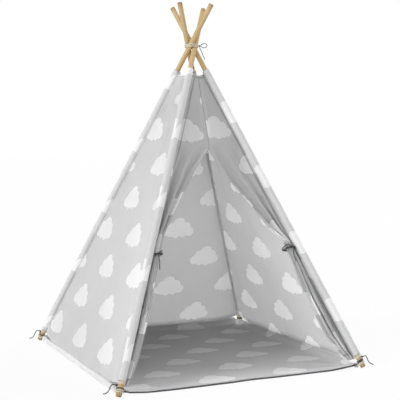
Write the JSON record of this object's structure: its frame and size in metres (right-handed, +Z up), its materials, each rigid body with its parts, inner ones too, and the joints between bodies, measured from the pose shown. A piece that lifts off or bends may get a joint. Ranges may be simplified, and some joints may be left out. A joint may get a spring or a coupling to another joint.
{
  "type": "kids teepee play tent",
  "caption": "Four-sided cotton play tent on crossed wooden poles in corner sleeves, with a tied-back door, a lashed top and a tied-in floor mat.",
  "frame": {"origin": "on the floor, midway between the four pole feet, below the crossing of the poles", "axes": "+Z up, -Y out through the door, +X to the right of someone who faces the door"},
  "size_m": [1.211, 1.13, 1.5771],
  "materials": {
    "pine_wood": "bare sanded pine dowel",
    "ferrule_metal": "plain drawn tube, hidden in the sleeve",
    "canopy_cotton": "plain-woven cotton, grey with a light scalloped cloud print",
    "mat_cotton": "cotton mat, grey with a light cloud print",
    "dark_binding": "charcoal cotton tape",
    "grey_binding": "light grey cotton tape",
    "pale_cord": "twisted cotton cord, cream",
    "dark_cord": "braided cotton cord, dark grey"
  },
  "bodies": {
    "mat": {"floor_mat": "mat_cotton", "mat_binding_front": "dark_binding", "mat_binding_left": "grey_binding", "mat_binding_rear": "grey_binding", "mat_binding_right": "grey_binding"},
    "canopy": {"left_wall": "canopy_cotton", "rear_wall": "canopy_cotton", "right_wall": "canopy_cotton", "door_left": "canopy_cotton", "door_right": "canopy_cotton", "lashing_winding": "pale_cord", "lashing_knot": "pale_cord", "lashing_loop": "pale_cord", "lashing_end": "pale_cord"},
    "pole_front_left": {"front_left_pole_lower": "pine_wood", "front_left_pole_middle": "pine_wood", "front_left_pole_upper": "pine_wood", "front_left_ferrule_lower": "ferrule_metal", "front_left_ferrule_middle": "ferrule_metal", "front_left_sleeve": "canopy_cotton", "front_left_mat_loop": "pale_cord", "front_left_foot_tie": "dark_cord", "front_left_foot_tie_knot": "dark_cord", "front_left_foot_tie_end": "dark_cord", "door_tie_left": "dark_cord", "door_tie_left_knot": "dark_cord", "door_tie_left_end": "dark_cord"},
    "pole_front_right": {"front_right_pole_lower": "pine_wood", "front_right_pole_middle": "pine_wood", "front_right_pole_upper": "pine_wood", "front_right_ferrule_lower": "ferrule_metal", "front_right_ferrule_middle": "ferrule_metal", "front_right_sleeve": "canopy_cotton", "front_right_mat_loop": "pale_cord", "front_right_foot_tie": "dark_cord", "front_right_foot_tie_knot": "dark_cord", "front_right_foot_tie_end": "dark_cord", "door_tie_right": "dark_cord", "door_tie_right_knot": "dark_cord", "door_tie_right_end": "dark_cord"},
    "pole_rear_right": {"rear_right_pole_lower": "pine_wood", "rear_right_pole_middle": "pine_wood", "rear_right_pole_upper": "pine_wood", "rear_right_ferrule_lower": "ferrule_metal", "rear_right_ferrule_middle": "ferrule_metal", "rear_right_sleeve": "canopy_cotton", "rear_right_mat_loop": "pale_cord", "rear_right_foot_tie": "dark_cord", "rear_right_foot_tie_knot": "dark_cord", "rear_right_foot_tie_end": "dark_cord"},
    "pole_rear_left": {"rear_left_pole_lower": "pine_wood", "rear_left_pole_middle": "pine_wood", "rear_left_pole_upper": "pine_wood", "rear_left_ferrule_lower": "ferrule_metal", "rear_left_ferrule_middle": "ferrule_metal", "rear_left_sleeve": "canopy_cotton", "rear_left_mat_loop": "pale_cord", "rear_left_foot_tie": "dark_cord", "rear_left_foot_tie_knot": "dark_cord", "rear_left_foot_tie_end": "dark_cord"}
  },
  "joints": [
    {"name": "frame_lift", "type": "slide", "parent": "mat", "child": "canopy", "axis": [0, 0, 1], "range_m": [0, 0.5]},
    {"name": "fold_front_left", "type": "hinge", "parent": "canopy", "child": "pole_front_left", "pos_m": [0.0119, -0.01243, 1.394], "axis": [0.6915, -0.7224, 0], "range_deg": [0, 22], "deforming": ["left_wall", "door_left"]},
    {"name": "fold_front_right", "type": "hinge", "parent": "canopy", "child": "pole_front_right", "pos_m": [0.01243, 0.0119, 1.394], "axis": [0.7224, 0.6915, 0], "range_deg": [0, 22], "deforming": ["right_wall", "door_right"]},
    {"name": "fold_rear_right", "type": "hinge", "parent": "canopy", "child": "pole_rear_right", "pos_m": [-0.0119, 0.01243, 1.394], "axis": [-0.6915, 0.7224, 0], "range_deg": [0, 22], "deforming": ["right_wall", "rear_wall"]},
    {"name": "fold_rear_left", "type": "hinge", "parent": "canopy", "child": "pole_rear_left", "pos_m": [-0.01243, -0.0119, 1.394], "axis": [-0.7224, -0.6915, 0], "range_deg": [0, 22], "deforming": ["rear_wall", "left_wall"]}
  ],
  "couplings": [
    {"joint": "fold_front_left", "follows": "frame_lift", "rad_per_m": 0.76794},
    {"joint": "fold_front_right", "follows": "frame_lift", "rad_per_m": 0.76794},
    {"joint": "fold_rear_right", "follows": "frame_lift", "rad_per_m": 0.76794},
    {"joint": "fold_rear_left", "follows": "frame_lift", "rad_per_m": 0.76794}
  ]
}
